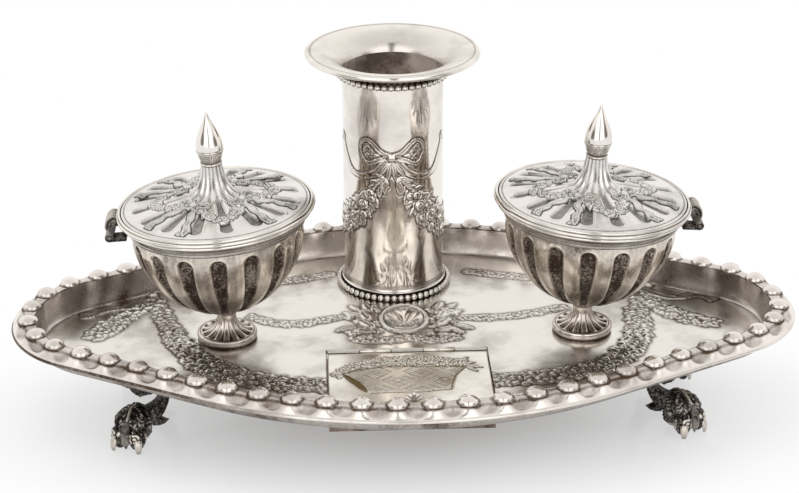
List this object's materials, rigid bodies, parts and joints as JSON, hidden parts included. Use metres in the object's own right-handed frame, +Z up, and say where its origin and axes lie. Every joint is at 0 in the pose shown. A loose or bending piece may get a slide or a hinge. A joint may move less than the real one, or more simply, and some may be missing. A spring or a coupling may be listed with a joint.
{
  "type": "desk inkstand",
  "caption": "Boat-shaped silver tray on paw feet with fluted covered inkwells, a tall quill tube and a hinged flap over a stamp box",
  "frame": {"origin": "on the table under the middle of the tray", "axes": "+X along the length of the tray towards the right-hand well, +Y towards the quill tube at the back, +Z up"},
  "size_m": [0.2888, 0.167, 0.1274],
  "materials": {
    "silver": "silver plate, polished, toned grey-brown in the chased hollows",
    "toned_silver": "silver plate, darkly toned with rubbed highlights",
    "inner_brass": "bare brass stock, out of sight",
    "glass": "clear pressed glass"
  },
  "bodies": {
    "stand": {"tray": "silver", "tray_bosses": "silver", "foot_front_left": "toned_silver", "foot_front_right": "toned_silver", "foot_rear_left": "toned_silver", "foot_rear_right": "toned_silver", "stamp_box": "silver", "flap_hinge_leaf": "silver", "flap_hinge_pin": "inner_brass", "holder_base": "silver", "holder_base_beads": "silver", "holder_tube": "silver", "holder_floor": "silver", "holder_top_beads": "silver", "holder_mouth": "silver", "holder_stud": "inner_brass", "holder_nut": "inner_brass", "left_well_foot": "silver", "left_well_stud": "inner_brass", "left_well_nut": "inner_brass", "left_bowl": "silver", "left_collar": "silver", "left_liner": "glass", "left_hinge_bracket": "toned_silver", "left_hinge_pin": "inner_brass", "right_well_foot": "silver", "right_well_stud": "inner_brass", "right_well_nut": "inner_brass", "right_bowl": "silver", "right_collar": "silver", "right_liner": "glass", "right_hinge_bracket": "toned_silver", "right_hinge_pin": "inner_brass"},
    "flap": {"flap": "silver", "flap_thumbpiece": "silver"},
    "left_lid": {"left_lid_dome": "silver", "left_lid_rim": "silver", "left_lid_leaf": "toned_silver", "left_finial": "silver", "left_finial_nut": "inner_brass"},
    "right_lid": {"right_lid_dome": "silver", "right_lid_rim": "silver", "right_lid_leaf": "toned_silver", "right_finial": "silver", "right_finial_nut": "inner_brass"}
  },
  "joints": [
    {"name": "flap_hinge", "type": "hinge", "parent": "stand", "child": "flap", "pos_m": [0, -0.015, 0.0328], "axis": [-1, 0, 0], "range_deg": [0, 110]},
    {"name": "left_lid_hinge", "type": "hinge", "parent": "stand", "child": "left_lid", "pos_m": [-0.10594, 0, 0.07754], "axis": [0, -1, 0], "range_deg": [0, 105]},
    {"name": "right_lid_hinge", "type": "hinge", "parent": "stand", "child": "right_lid", "pos_m": [0.10594, 0, 0.07754], "axis": [0, 1, 0], "range_deg": [0, 105]}
  ]
}
